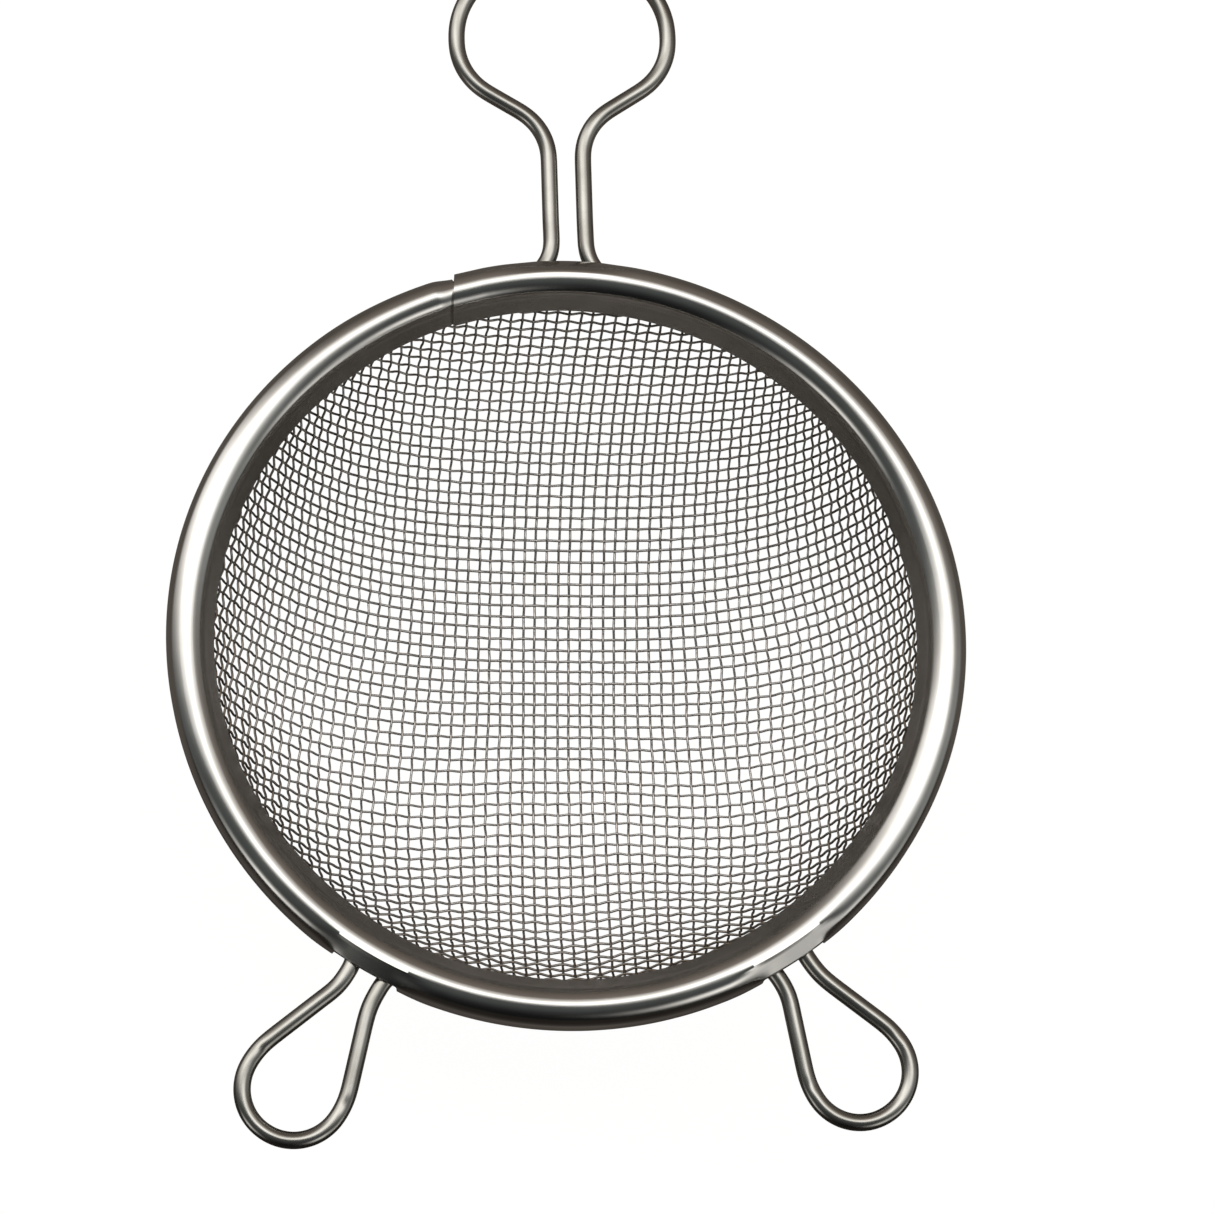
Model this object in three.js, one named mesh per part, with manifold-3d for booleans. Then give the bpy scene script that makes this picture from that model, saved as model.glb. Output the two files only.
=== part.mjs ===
// Tea strainer: a wire-cloth bowl held in a folded sheet-steel rim, with a wire
// handle at +Y and two wire rest loops towards -Y.
// Units are millimetres, +Z is up. The origin is the centre of the small flat
// on the underside of the bowl.
import * as THREE from 'three';
import { mergeVertices } from 'three/addons/utils/BufferGeometryUtils.js';
import Module from 'manifold-3d';

const wasm = await Module();
wasm.setup();

// ---- Driving dimensions -------------------------------------------------
const RIM_RADIUS = 40;          // outside of the rim, along X
const RIM_OVALITY = 0.98;       // size of the rim along Y compared with X
const SHEET = 0.4;              // thickness of the rim's sheet
const FIT_GAP = 0.3;            // clearance between separate pieces

const CROWN_RADIUS = 2;         // outside radius of the rolled crown
const WALL_DROP = 1.6;          // straight outer wall below the crown
const LIP_RADIUS = 0.85;        // middle radius where the lip turns under the wall
const LIP_TURN = 100;           // degrees that the lip turns inwards
const LIP_LENGTH = 1.85;        // straight part of the lip, towards the cloth
const SKIRT_LENGTH = 2.4;       // inner skirt that lies against the cloth
const SKIRT_SLOPE = 73;         // degrees from the horizontal
const CREASE_TURN = 85;         // degrees from the top of the crown to the crease

const SEAM_ANGLE = 107;         // where the rim strip's ends meet, from +X
const SEAM_GAP = 0.45;          // degrees between the strip's two ends
const TONGUE_ANGLE = 4;         // degrees of strip tucked under the other end
const JOGGLE_ANGLE = 1;         // degrees over which the strip steps down
const TONGUE_SIDE_ANGLE = 25;   // degrees up from the horizontal where the tongue ends

const CLOTH = 0.5;              // thickness of the woven wire cloth
const BOWL_FLAT = 4;            // radius of the flat at the bottom of the bowl
const BOWL_SLOPE = 66;          // degrees from the horizontal where it meets the rim
const BOWL_TUCK = 1.1;          // height of cloth held inside the rim channel

const WIRE = 1.7;               // diameter of the handle and loop wire
const WIRE_DROP = 2.6;          // wire axis below the crown
const NECK_HALF = 1.75;         // half the distance between a pair of legs
const TOE_RADIUS = 38.3;        // where the hidden toes lie inside the channel
const TOE_LENGTH = 4.6;         // length of each hidden toe

const HANDLE_ANGLE = 90;        // degrees from +X
const HANDLE_TOE_BEND = 4.4;    // bend radius between the handle's legs and toes
const HANDLE_NOTCH_HALF = 4.7;  // half width of the wall opening for its legs
const HANDLE_REACH = 71.9;      // far end of the handle loop, on the wire axis
const HANDLE_HALF = 11;         // half width of the handle loop
const HANDLE_NECK_END = 53.85;  // where the neck lines meet the shoulder lines
const HANDLE_NECK_BEND = 6;
const HANDLE_SHOULDER = 59.6;   // where the shoulder lines meet the sides
const HANDLE_SHOULDER_BEND = 6.5;
const HANDLE_END_BEND = 8.1;

const LOOP_TOE_BEND = 1.8;      // bend radius between a rest loop's legs and toes
const LOOP_NOTCH_HALF = 3.45;   // half width of the wall opening for its legs
const LOOP_HALF = 5.05;         // half width of a rest loop
const LOOP_NECK_END = 41.7;     // where its neck begins to spread
const LOOP_NECK_BEND = 7;
const LOOP_SPREAD_BEND = 8;
const LOOP_END_BEND = LOOP_HALF - 0.05;

// Angle in degrees from -Y, with +X positive. The reach is the far end on the
// wire axis, and the sides run parallel again from spreadEnd.
const LEFT_LOOP = { angle: -30, reach: 57.5, spreadEnd: 50.9 };
const RIGHT_LOOP = { angle: 34, reach: 56.9, spreadEnd: 50.4 };

// ---- Smoothness ---------------------------------------------------------
const RIM_STEPS = 84;
const CROWN_STEPS = 7;
const LIP_STEPS = 3;
const TONGUE_STEPS = 8;
const BOWL_SEGMENTS = 60;
const BOWL_ARC_STEPS = 10;
const WIRE_STEP = 1.4;
const WIRE_SIDES = 10;

// ---- Values worked out from the driving dimensions ----------------------
const rad = THREE.MathUtils.degToRad;
const deg = THREE.MathUtils.radToDeg;
const CROWN_CENTRE = RIM_RADIUS - CROWN_RADIUS;
const CROWN_MIDDLE = CROWN_RADIUS - SHEET / 2;

// The crease, where the crown ends and the skirt begins, is counted from the
// crown's centre, and so is the skirt's free edge.
const CREASE_IN = CROWN_MIDDLE * Math.sin(rad(CREASE_TURN));
const CREASE_UP = CROWN_MIDDLE * Math.cos(rad(CREASE_TURN));
const SKIRT_IN = CREASE_IN + SKIRT_LENGTH * Math.cos(rad(SKIRT_SLOPE));
const SKIRT_DOWN = SKIRT_LENGTH * Math.sin(rad(SKIRT_SLOPE)) - CREASE_UP;

// The cloth passes the skirt's free edge with a gap between their faces, and
// that fixes the radius of the bowl's wall, its depth and the rim's height.
const CLOTH_BEHIND_SKIRT = (SHEET / 2 + FIT_GAP + CLOTH / 2) / Math.sin(rad(BOWL_SLOPE));
const BRIM_RADIUS = CROWN_CENTRE - SKIRT_IN + CLOTH_BEHIND_SKIRT;
const WALL_RADIUS = (BRIM_RADIUS - BOWL_FLAT) / Math.sin(rad(BOWL_SLOPE));
const BOWL_DEPTH = WALL_RADIUS * (1 - Math.cos(rad(BOWL_SLOPE)));
const CROWN_BASE = CLOTH / 2 + BOWL_DEPTH + SKIRT_DOWN;
const RIM_TOP = CROWN_BASE + CROWN_RADIUS;
const WIRE_LEVEL = RIM_TOP - WIRE_DROP;

// ---- Materials ----------------------------------------------------------
function steel(color, roughness) {
  return new THREE.MeshStandardMaterial({ color, roughness, metalness: 1 });
}

const rimSteel = steel(0x8d8780, 0.24);
const clothSteel = steel(0x5e574f, 0.38);
const wireSteel = steel(0x86807a, 0.3);

// ---- Geometry helpers ---------------------------------------------------
// Joins coincident vertices and leaves only positions, as manifold needs.
function positionsOnly(geometry) {
  const plain = geometry.clone();
  plain.deleteAttribute('normal');
  plain.deleteAttribute('uv');
  return mergeVertices(plain, 1e-4);
}

function toSolid(geometry) {
  const merged = positionsOnly(geometry);
  return new wasm.Manifold(new wasm.Mesh({
    numProp: 3,
    vertProperties: Float32Array.from(merged.attributes.position.array),
    triVerts: Uint32Array.from(merged.index.array),
  }));
}

function toGeometry(solid) {
  const mesh = solid.getMesh();
  const geometry = new THREE.BufferGeometry();
  geometry.setAttribute('position', new THREE.BufferAttribute(mesh.vertProperties, 3));
  geometry.setIndex(new THREE.BufferAttribute(mesh.triVerts, 1));
  geometry.computeVertexNormals();
  return geometry;
}

// Points on an arc, from one angle to another in degrees, both ends included.
function arcPoints(centre, radius, from, to, steps) {
  const points = [];
  for (let i = 0; i <= steps; i += 1) {
    const angle = rad(from + (to - from) * i / steps);
    points.push(new THREE.Vector2(
      centre.x + radius * Math.cos(angle),
      centre.y + radius * Math.sin(angle),
    ));
  }
  return points;
}

// The closed outline of a sheet whose middle line is given, thickened both ways.
// It runs along the right-hand side of the line and comes back on the left.
function sheetOutline(middle, thickness) {
  const right = [];
  const left = [];
  middle.forEach((point, i) => {
    const before = middle[Math.max(i - 1, 0)];
    const after = middle[Math.min(i + 1, middle.length - 1)];
    const along = after.clone().sub(before).normalize();
    const across = new THREE.Vector2(along.y, -along.x).multiplyScalar(thickness / 2);
    right.push(point.clone().add(across));
    left.unshift(point.clone().sub(across));
  });
  return [...right, ...left];
}

// A level circle about the Z axis, or the part of it between two angles.
class LevelArc extends THREE.Curve {
  constructor(radius, from, to) {
    super();
    this.radius = radius;
    this.from = rad(from);
    this.to = rad(to);
  }

  getPoint(t, target = new THREE.Vector3()) {
    const angle = this.from + (this.to - this.from) * t;
    return target.set(this.radius * Math.cos(angle), this.radius * Math.sin(angle), 0);
  }
}

// Sweeps a section, given as (radius, height) points, part of the way round Z.
function sweepRound(section, from, to) {
  const path = new LevelArc(RIM_RADIUS, from, to);
  const steps = Math.max(2, Math.round(RIM_STEPS * (to - from) / 360));
  const shape = new THREE.Shape(section.map((p) => new THREE.Vector2(-p.y, RIM_RADIUS - p.x)));
  return new THREE.ExtrudeGeometry(shape, { steps, extrudePath: path });
}

function makeOval(geometry) {
  return geometry.scale(1, RIM_OVALITY, 1);
}

// A route through corner points, each corner rounded with its own bend radius.
function bentRoute(corners) {
  const route = new THREE.CurvePath();
  let last = corners[0].at;
  for (let i = 1; i < corners.length - 1; i += 1) {
    const { at, bend } = corners[i];
    const back = corners[i - 1].at.clone().sub(at).normalize();
    const ahead = corners[i + 1].at.clone().sub(at).normalize();
    const half = back.angleTo(ahead) / 2;
    const reach = bend / Math.tan(half);
    const start = at.clone().addScaledVector(back, reach);
    const end = at.clone().addScaledVector(ahead, reach);
    route.add(new THREE.LineCurve3(last, start));
    route.add(new CornerBend(at, back, ahead, bend));
    last = end;
  }
  route.add(new THREE.LineCurve3(last, corners[corners.length - 1].at));
  return route;
}

// The circular bend that rounds one corner.
class CornerBend extends THREE.Curve {
  constructor(corner, back, ahead, radius) {
    super();
    const half = back.angleTo(ahead) / 2;
    this.middle = back.clone().add(ahead).normalize();
    this.centre = corner.clone().addScaledVector(this.middle, radius / Math.sin(half));
    this.side = ahead.clone().sub(back).normalize();
    this.radius = radius;
    this.sweep = Math.PI / 2 - half;
  }

  getPoint(t, target = new THREE.Vector3()) {
    const angle = this.sweep * (2 * t - 1);
    return target.copy(this.centre)
      .addScaledVector(this.middle, -this.radius * Math.cos(angle))
      .addScaledVector(this.side, this.radius * Math.sin(angle));
  }
}

function wireAlong(corners) {
  const route = bentRoute(corners);
  const section = new THREE.Shape();
  section.absarc(0, 0, WIRE / 2, 0, 2 * Math.PI);
  return new THREE.ExtrudeGeometry(section, {
    steps: Math.round(route.getLength() / WIRE_STEP),
    curveSegments: WIRE_SIDES / 2,
    extrudePath: route,
  });
}

// Repeats one half of a wire's corners on the other side of its centre line.
function mirroredCorners(half) {
  const other = half.map(({ at, bend }) => ({ at: new THREE.Vector3(-at.x, at.y, at.z), bend }));
  return [...other, ...half.reverse()];
}

// The hidden toe and the leg that start every wire, in the wire's own frame:
// +Y points outwards from the centre of the rim, and the toe's end and its bend
// both lie in the channel, at the given distance from that centre.
function toeAndLeg(channel, toeBend) {
  const inChannel = (x) => new THREE.Vector3(x, Math.sqrt(channel * channel - x * x), 0);
  return [
    { at: inChannel(NECK_HALF + TOE_LENGTH) },
    { at: inChannel(NECK_HALF), bend: toeBend },
  ];
}

// ---- Rim ----------------------------------------------------------------
const CROWN = new THREE.Vector2(CROWN_CENTRE, CROWN_BASE);

// The folded strip: skirt, crease, crown, outer wall and the lip under it.
function rimSection() {
  const skirtEdge = new THREE.Vector2(CROWN.x - SKIRT_IN, CROWN.y - SKIRT_DOWN);
  const overTop = arcPoints(CROWN, CROWN_MIDDLE, 90 + CREASE_TURN, 0, CROWN_STEPS);
  const lipCentre = new THREE.Vector2(CROWN.x + CROWN_MIDDLE - LIP_RADIUS, CROWN.y - WALL_DROP);
  const lipTurn = arcPoints(lipCentre, LIP_RADIUS, 0, -LIP_TURN, LIP_STEPS);
  const lipRise = rad(LIP_TURN - 90);
  const lipEdge = lipTurn[lipTurn.length - 1].clone();
  lipEdge.x -= LIP_LENGTH * Math.cos(lipRise);
  lipEdge.y += LIP_LENGTH * Math.sin(lipRise);
  return sheetOutline([skirtEdge, ...overTop, ...lipTurn, lipEdge], SHEET);
}

// An arch of the crown alone, between two radii.
function crownArch(inside, outside) {
  const start = TONGUE_SIDE_ANGLE;
  const end = 180 - TONGUE_SIDE_ANGLE;
  return [
    ...arcPoints(CROWN, outside, start, end, TONGUE_STEPS),
    ...arcPoints(CROWN, inside, end, start, TONGUE_STEPS),
  ];
}

// The space taken out of the wall and the lip where a pair of legs comes out.
function notchCutter(angle, halfWidth) {
  const inside = BRIM_RADIUS + CLOTH;
  const outside = RIM_RADIUS + SHEET;
  const top = WIRE_LEVEL + WIRE / 2 + FIT_GAP;
  const bottom = 0;
  const section = [
    new THREE.Vector2(inside, bottom),
    new THREE.Vector2(outside, bottom),
    new THREE.Vector2(outside, top),
    new THREE.Vector2(inside, top),
  ];
  const half = deg(halfWidth / RIM_RADIUS);
  return toSolid(sweepRound(section, angle - half, angle + half));
}

function makeRim() {
  const from = SEAM_ANGLE + SEAM_GAP / 2;
  const to = SEAM_ANGLE + 360 - SEAM_GAP / 2;
  const strip = toSolid(sweepRound(rimSection(), from, to));
  const underside = CROWN_RADIUS - SHEET;
  const tongueTop = underside - FIT_GAP;
  const tongueSection = crownArch(tongueTop - SHEET, tongueTop);
  const tongueEnd = SEAM_ANGLE - TONGUE_ANGLE;
  const tongue = toSolid(sweepRound(tongueSection, tongueEnd, from + JOGGLE_ANGLE));
  const joggleSection = crownArch(tongueTop - SHEET, CROWN_MIDDLE);
  const joggle = toSolid(sweepRound(joggleSection, from, from + JOGGLE_ANGLE));
  const rim = strip.add(joggle).add(tongue)
    .subtract(notchCutter(HANDLE_ANGLE, HANDLE_NOTCH_HALF))
    .subtract(notchCutter(LEFT_LOOP.angle - 90, LOOP_NOTCH_HALF))
    .subtract(notchCutter(RIGHT_LOOP.angle - 90, LOOP_NOTCH_HALF));
  return makeOval(toGeometry(rim));
}

// ---- Bowl ---------------------------------------------------------------
// The cloth as one closed shell: a small flat, a round wall, and a straight
// tuck that stands inside the rim channel behind the skirt.
function bowlSection() {
  const centre = new THREE.Vector2(0, CLOTH / 2);
  const insideFlat = new THREE.Vector2(BOWL_FLAT / 2, CLOTH / 2);
  const wallCentre = new THREE.Vector2(BOWL_FLAT, CLOTH / 2 + WALL_RADIUS);
  const wall = arcPoints(wallCentre, WALL_RADIUS, -90, BOWL_SLOPE - 90, BOWL_ARC_STEPS);
  const brim = wall[wall.length - 1];
  const tuck = brim.clone();
  tuck.x += BOWL_TUCK / Math.tan(rad(BOWL_SLOPE));
  tuck.y += BOWL_TUCK;
  return sheetOutline([centre, insideFlat, ...wall, tuck], CLOTH);
}

function makeBowl() {
  const shell = new THREE.LatheGeometry(bowlSection(), BOWL_SEGMENTS);
  return makeOval(shell.rotateX(Math.PI / 2));
}

// ---- Wires --------------------------------------------------------------
function makeHandle() {
  const half = [
    ...toeAndLeg(TOE_RADIUS * RIM_OVALITY, HANDLE_TOE_BEND),
    { at: new THREE.Vector3(NECK_HALF, HANDLE_NECK_END, 0), bend: HANDLE_NECK_BEND },
    { at: new THREE.Vector3(HANDLE_HALF, HANDLE_SHOULDER, 0), bend: HANDLE_SHOULDER_BEND },
    { at: new THREE.Vector3(HANDLE_HALF, HANDLE_REACH, 0), bend: HANDLE_END_BEND },
  ];
  return wireAlong(mirroredCorners(half)).translate(0, 0, WIRE_LEVEL);
}

function makeRestLoop({ angle, reach, spreadEnd }) {
  const across = Math.sin(rad(angle)) / TOE_RADIUS;
  const along = Math.cos(rad(angle)) / (TOE_RADIUS * RIM_OVALITY);
  const channel = 1 / Math.hypot(across, along);
  const half = [
    ...toeAndLeg(channel, LOOP_TOE_BEND),
    { at: new THREE.Vector3(NECK_HALF, LOOP_NECK_END, 0), bend: LOOP_NECK_BEND },
    { at: new THREE.Vector3(LOOP_HALF, spreadEnd, 0), bend: LOOP_SPREAD_BEND },
    { at: new THREE.Vector3(LOOP_HALF, reach, 0), bend: LOOP_END_BEND },
  ];
  const wire = wireAlong(mirroredCorners(half));
  return wire.rotateZ(Math.PI + rad(angle)).translate(0, 0, WIRE_LEVEL);
}

// ---- Assembly -----------------------------------------------------------
function addPart(name, geometry, material) {
  const mesh = new THREE.Mesh(geometry, material);
  mesh.name = name;
  group.add(mesh);
}

const group = new THREE.Group();
addPart('rim_channel', makeRim(), rimSteel);
addPart('mesh_bowl', makeBowl(), clothSteel);
addPart('handle_wire', makeHandle(), wireSteel);
addPart('left_rest_loop', makeRestLoop(LEFT_LOOP), wireSteel);
addPart('right_rest_loop', makeRestLoop(RIGHT_LOOP), wireSteel);

export default group;
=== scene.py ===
"""Looks of the tea strainer: the folded rim, three bent wires and the woven cloth,
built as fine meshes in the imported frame, with procedural steel and a plain studio.

Lengths in the shape code are millimetres; meshes are written in metres.
"""
import math

import bpy
import numpy as np
from mathutils import Matrix, Vector


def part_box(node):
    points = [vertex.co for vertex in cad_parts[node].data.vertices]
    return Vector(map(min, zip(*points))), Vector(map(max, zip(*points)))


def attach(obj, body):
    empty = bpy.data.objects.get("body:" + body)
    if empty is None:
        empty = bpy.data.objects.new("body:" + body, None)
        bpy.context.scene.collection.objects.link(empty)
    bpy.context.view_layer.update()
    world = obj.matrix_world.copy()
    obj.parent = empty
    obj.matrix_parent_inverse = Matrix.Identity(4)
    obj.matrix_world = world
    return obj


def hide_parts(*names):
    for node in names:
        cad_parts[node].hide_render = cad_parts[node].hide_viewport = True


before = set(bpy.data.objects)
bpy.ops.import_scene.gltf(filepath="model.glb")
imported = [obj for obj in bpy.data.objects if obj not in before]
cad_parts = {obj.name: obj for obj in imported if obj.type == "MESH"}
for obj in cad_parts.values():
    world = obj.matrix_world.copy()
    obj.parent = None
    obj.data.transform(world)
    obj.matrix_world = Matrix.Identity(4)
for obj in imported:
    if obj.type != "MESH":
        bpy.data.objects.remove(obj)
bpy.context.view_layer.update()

MM = 0.001
rng = np.random.default_rng(7)

# ---- Sizes taken from the frame -------------------------------------------
rim_low, rim_high = (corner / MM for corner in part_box("rim_channel"))
_, bowl_high = (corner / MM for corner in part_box("mesh_bowl"))
wire_low, wire_high = (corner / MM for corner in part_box("handle_wire"))

RIM_RADIUS = rim_high.x
OVALITY = (rim_high.y - rim_low.y) / (rim_high.x - rim_low.x)
RIM_TOP = rim_high.z
WIRE_LEVEL = (wire_low.z + wire_high.z) / 2
CLOTH_TOP = bowl_high.z

# ---- Sizes shared with the part -------------------------------------------
SHEET = 0.4
FIT_GAP = 0.3
CROWN_RADIUS = 2.0
WALL_DROP = 1.6
LIP_RADIUS = 0.85
LIP_TURN = 100
LIP_LENGTH = 1.85
SKIRT_LENGTH = 2.4
SKIRT_SLOPE = 73
CREASE_TURN = 85
SEAM_ANGLE = 107
TONGUE_ANGLE = 4

WIRE = 1.7
NECK_HALF = 1.75
TOE_RADIUS = 38.3
TOE_LENGTH = 4.6

HANDLE_ANGLE = 90
HANDLE_TOE_BEND = 4.4
HANDLE_NOTCH_HALF = 4.7
HANDLE_NECK_END = 53.85
HANDLE_NECK_BEND = 6
HANDLE_SHOULDER = 59.6
HANDLE_SHOULDER_BEND = 6.5
HANDLE_END_BEND = 8.1

LOOP_TOE_BEND = 1.8
LOOP_NOTCH_HALF = 3.45
LOOP_HALF = 5.05
LOOP_NECK_END = 41.7
LOOP_NECK_BEND = 7
LOOP_SPREAD_BEND = 8
LOOP_END_BEND = LOOP_HALF - 0.05
LEFT_LOOP = {"angle": -30, "reach": 57.5, "spread_end": 50.9}
RIGHT_LOOP = {"angle": 34, "reach": 56.9, "spread_end": 50.4}

BOWL_FLAT = 4.0
BOWL_SLOPE = 66
CLOTH = 0.5

# ---- The weave, for which the part has a plain shell -----------------------
CLOTH_WIRE = 0.26
ROW_PITCH = 1.175
COLUMN_PITCH = 1.20


# ---- Mesh helpers ----------------------------------------------------------
def smoothstep(x, low, high):
    t = np.clip((np.asarray(x, float) - low) / (high - low), 0, 1)
    return t * t * (3 - 2 * t)


def make_piece(name, points, faces, material, sharp=None, uv=None):
    """A smooth-shaded mesh object from points in millimetres."""
    mesh = bpy.data.meshes.new(name)
    mesh.from_pydata((np.asarray(points) * MM).tolist(), [], faces)
    mesh.polygons.foreach_set("use_smooth", [True] * len(mesh.polygons))
    if uv is not None:
        layer = mesh.uv_layers.new(name="along")
        loops = np.empty(len(mesh.loops), int)
        mesh.loops.foreach_get("vertex_index", loops)
        layer.data.foreach_set("uv", np.asarray(uv)[loops].ravel())
    if sharp is not None:
        mesh.set_sharp_from_angle(angle=math.radians(sharp))
    mesh.materials.append(material)
    mesh.validate()
    piece = bpy.data.objects.new(name, mesh)
    bpy.context.scene.collection.objects.link(piece)
    return piece


def grid_faces(rings, sides, first=0):
    """Quads joining successive closed rings of points, with a cap at each end."""
    faces = []
    for i in range(rings - 1):
        a = first + i * sides
        b = a + sides
        for j in range(sides):
            k = (j + 1) % sides
            faces.append((a + j, a + k, b + k, b + j))
    last = first + (rings - 1) * sides
    faces.append(tuple(range(first + sides - 1, first - 1, -1)))
    faces.append(tuple(range(last, last + sides)))
    return faces


# ---- Rim --------------------------------------------------------------------
CROWN_R = RIM_RADIUS - CROWN_RADIUS
CROWN_Z = RIM_TOP - CROWN_RADIUS
CROWN_MIDDLE = CROWN_RADIUS - SHEET / 2

# Each pair of legs: polar angle, how firmly the sheet is pressed down over it, and
# half the width of the opening in the wall.
LEG_PLACES = (
    (HANDLE_ANGLE, 0.6, HANDLE_NOTCH_HALF),
    (LEFT_LOOP["angle"] - 90, 1.0, LOOP_NOTCH_HALF),
    (RIGHT_LOOP["angle"] - 90, 1.0, LOOP_NOTCH_HALF),
)
PRESS_TURN = 80       # where the pressed facet starts, from the horizontal
RIDGE_TURN = 79       # the slight ridge the press leaves above the facet
RIDGE_SPREAD = 4.5
RIDGE_HEIGHT = 0.07
LEG_REACH = 12        # distance along the rim within which a pair of legs matters
PRESS_FLAT = 2.3      # half length of the fully pressed stretch
PRESS_END = 7.4       # where the press has faded out
CUT_EDGE = 0.6        # length over which the wall's cut edge runs down
CUT_SHARE = 0.985     # share of the wall and lip that the opening takes away
FLARE_REACH = 5       # distance beyond the opening over which the flare fades
PRESS_TUCK = 0.02     # how far the facet's foot lies inside the wall's line
PRESS_GAP = 0.12      # clearance between the pressed sheet and the wires
FLARE = 0.06          # how far the cut corners of the wall stand out

# The skirt leans in more on the near side, most of all inside the two loops:
# polar angle of each extra lean, its reach and the lean in degrees.
SKIRT_LEANS = ((-90, 75, 9), (-136, 34, 9), (-46, 34, 8))
NEAR_WALL_LEAN = 0.25 # how far the foot of the wall stands out on the near side
NEAR_WALL_REACH = 80  # degrees over which that fades

SKIRT_POINTS = 9      # points along the skirt, the crown, and the wall and lip
CROWN_POINTS = 34
WALL_POINTS = 27


def arc(centre_r, centre_z, radius, start, end, count):
    angles = np.radians(np.linspace(start, end, count))
    return np.stack([centre_r + radius * np.cos(angles), centre_z + radius * np.sin(angles)], 1)


def leg_distance(angle, place):
    """Distance along the rim from the middle of a pair of legs."""
    turn = (angle - place + 180) % 360 - 180
    return math.radians(turn) * RIM_RADIUS


STRAIGHT_POINTS = 12  # points of the wall's and the lip's straights, and of their bend
BEND_POINTS = 24


def wall_and_lip():
    """Middle line from the end of the crown down the wall and under, densely."""
    wall_r = CROWN_R + CROWN_MIDDLE
    wall = np.array([[wall_r, CROWN_Z - WALL_DROP * t] for t in np.linspace(0, 1, STRAIGHT_POINTS)])
    lip = arc(wall_r - LIP_RADIUS, CROWN_Z - WALL_DROP, LIP_RADIUS, 0, -LIP_TURN,
              BEND_POINTS)
    rise = math.radians(LIP_TURN - 90)
    run = np.linspace(0, LIP_LENGTH, STRAIGHT_POINTS)[1:, None]
    end = lip[-1] + run * np.array([-math.cos(rise), math.sin(rise)])
    return np.concatenate([wall, lip[1:], end])


def along_line(line, places):
    """Points at the given distances along a polyline."""
    steps = np.r_[0, np.cumsum(np.linalg.norm(np.diff(line, axis=0), axis=1))]
    places = np.clip(places, 0, steps[-1])
    return np.stack([np.interp(places, steps, line[:, k]) for k in (0, 1)], 1), steps[-1]


def bell(angle, place, reach):
    """A smooth bump of polar angle, 1 at its place and near 0 beyond its reach."""
    turn = (np.asarray(angle, float) - place + 180) % 360 - 180
    return np.exp(-(turn / (0.6 * reach)) ** 2)


def skirt_lean(angle):
    return sum(lean * bell(angle, place, reach) for place, reach, lean in SKIRT_LEANS)


def rim_line(angle):
    """The sheet's middle line at one polar angle, from skirt edge to lip edge."""
    crease_r = CROWN_R + CROWN_MIDDLE * math.cos(math.radians(90 + CREASE_TURN))
    crease_z = CROWN_Z + CROWN_MIDDLE * math.sin(math.radians(90 + CREASE_TURN))
    slope = math.radians(SKIRT_SLOPE - skirt_lean(angle))
    run = np.linspace(SKIRT_LENGTH, 0, SKIRT_POINTS)[:-1, None]
    skirt = np.array([crease_r, crease_z]) - run * np.array([math.cos(slope), math.sin(slope)])
    turns = np.linspace(90 + CREASE_TURN, 0, CROWN_POINTS)
    crown = arc(CROWN_R, CROWN_Z, CROWN_MIDDLE, 90 + CREASE_TURN, 0, len(turns))
    keep = 1.0
    flare = 0.0
    for place, firmness, notch_half in LEG_PLACES:
        x = abs(leg_distance(angle, place))
        if x > LEG_REACH:
            continue
        press = firmness * (1 - smoothstep(x, PRESS_FLAT, PRESS_END))
        top = np.array([CROWN_R + CROWN_MIDDLE * math.cos(math.radians(PRESS_TURN)),
                        CROWN_Z + CROWN_MIDDLE * math.sin(math.radians(PRESS_TURN))])
        foot = np.array([CROWN_R + CROWN_MIDDLE - PRESS_TUCK,
                         WIRE_LEVEL + WIRE / 2 + SHEET / 2 + PRESS_GAP])
        share = np.clip((PRESS_TURN - turns) / PRESS_TURN, 0, 1)[:, None]
        flat = top + share * (foot - top)
        weight = press * (turns < PRESS_TURN)[:, None]
        crown = crown * (1 - weight) + flat * weight
        ridge = np.exp(-((turns - RIDGE_TURN) / RIDGE_SPREAD) ** 2)
        crown[:, 1] += RIDGE_HEIGHT * press * ridge
        cut = 1 - smoothstep(x, notch_half, notch_half + CUT_EDGE)
        keep = min(keep, 1 - CUT_SHARE * cut)
        near_cut = 1 - smoothstep(x, notch_half, notch_half + FLARE_REACH)
        flare = max(flare, firmness * FLARE * near_cut)
    down, _ = along_line(WALL_LINE, np.linspace(0, WALL_LENGTH * keep, WALL_POINTS)[1:])
    down = down + (crown[-1] - WALL_LINE[0])
    drop = smoothstep(CROWN_Z - down[:, 1], 0, WALL_DROP + LIP_RADIUS)
    near_lean = NEAR_WALL_LEAN * bell(angle, -90, NEAR_WALL_REACH)
    down[:, 0] += (flare + near_lean) * drop
    return np.concatenate([skirt, crown, down])


WALL_LINE = wall_and_lip()
WALL_LENGTH = along_line(WALL_LINE, [0])[1]


RIM_STATIONS = 430    # evenly spread cross-sections, before the extra ones


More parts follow.
